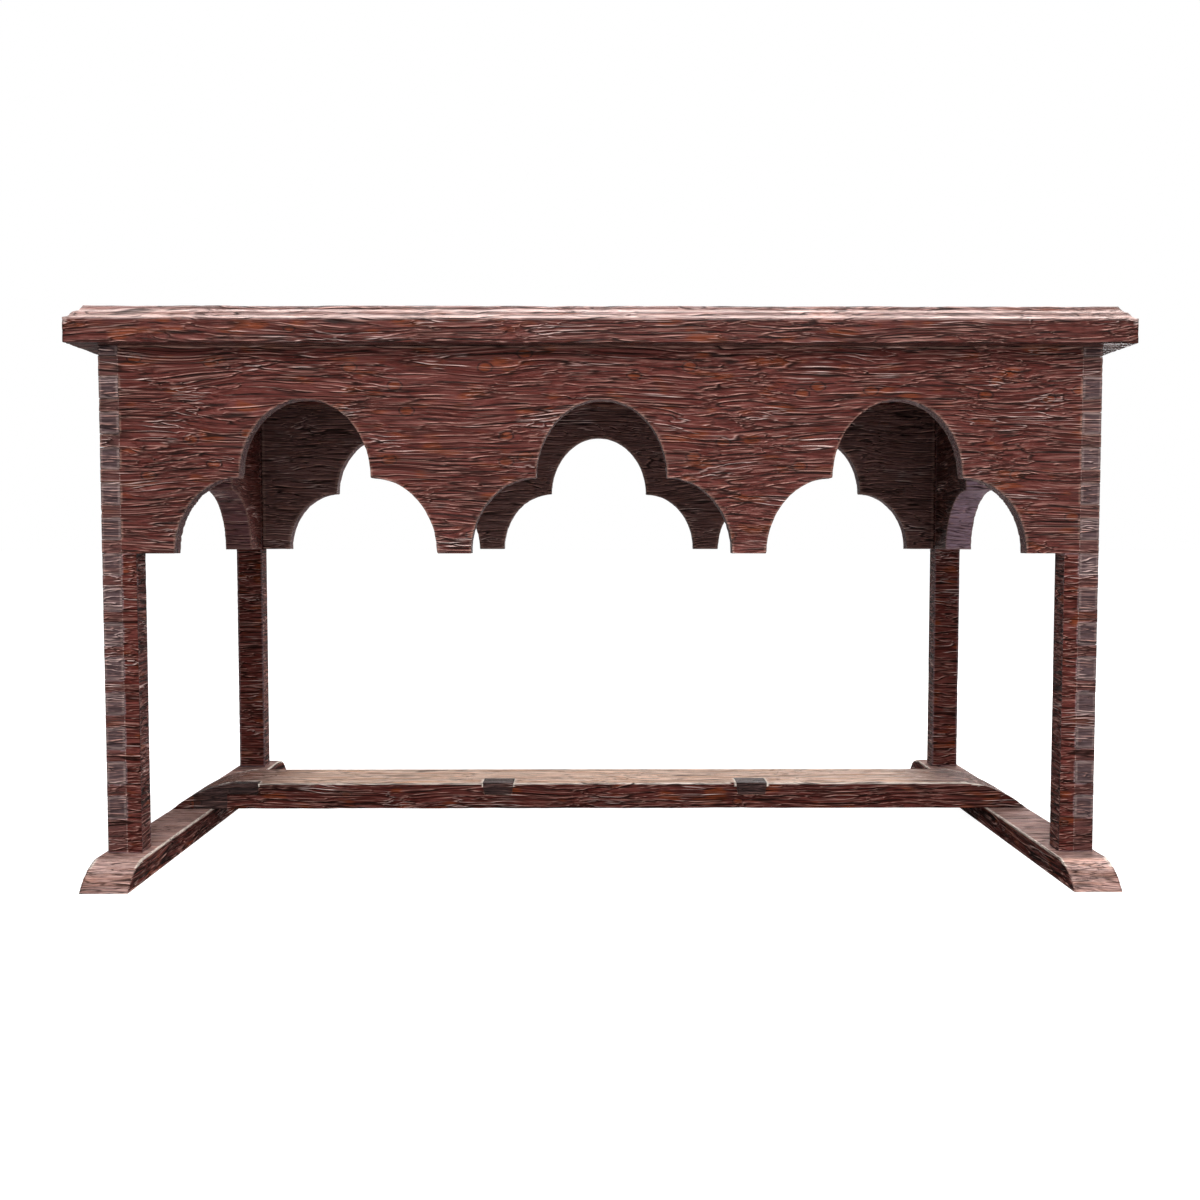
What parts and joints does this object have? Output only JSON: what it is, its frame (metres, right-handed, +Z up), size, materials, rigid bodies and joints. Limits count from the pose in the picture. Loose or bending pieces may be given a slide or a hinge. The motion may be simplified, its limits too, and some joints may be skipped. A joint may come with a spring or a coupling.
{
  "type": "communion table",
  "caption": "Long church table with a moulded boarded top, trefoil-arched aprons on all sides, square legs on curved sled runners and a central stretcher.",
  "frame": {"origin": "on the floor, under the middle of the table", "axes": "+Z up, +X along the table's length to the right, -Y towards the front"},
  "size_m": [1.524, 0.88, 0.828],
  "materials": {
    "top_wood": "aged red-brown hardwood, wrinkled grain, satin wax",
    "apron_wood": "aged red-brown hardwood, wavy horizontal grain, satin wax",
    "leg_wood": "aged red-brown hardwood, cross grain ridges, satin wax",
    "base_wood": "aged red-brown hardwood, worn paler on the upper faces",
    "cleat_wood": "dark red hardwood, plain sawn",
    "end_grain_wood": "greyish end grain, fine pores",
    "dark_wood": "near-black hardwood",
    "inner_wood": "plain pale hardwood, unfinished",
    "screw_steel": "plain steel"
  },
  "bodies": {
    "root": {"top_board_front": "top_wood", "top_board_front_mid": "top_wood", "top_board_middle": "top_wood", "top_board_rear_mid": "top_wood", "top_board_rear": "top_wood", "top_tongues": "inner_wood", "front_apron": "apron_wood", "rear_apron": "apron_wood", "left_end_apron": "apron_wood", "right_end_apron": "apron_wood", "front_left_leg": "leg_wood", "front_right_leg": "leg_wood", "rear_left_leg": "leg_wood", "rear_right_leg": "leg_wood", "front_left_keys": "end_grain_wood", "front_right_keys": "end_grain_wood", "rear_left_keys": "end_grain_wood", "rear_right_keys": "end_grain_wood", "front_cleat": "cleat_wood", "rear_cleat": "cleat_wood", "left_runner": "base_wood", "right_runner": "base_wood", "stretcher": "base_wood", "stretcher_keys": "dark_wood", "stretcher_patches": "dark_wood", "stretcher_dowels": "inner_wood", "stretcher_screws": "screw_steel", "leg_wedges": "inner_wood", "top_screws": "screw_steel", "apron_screws": "screw_steel"}
  },
  "joints": []
}
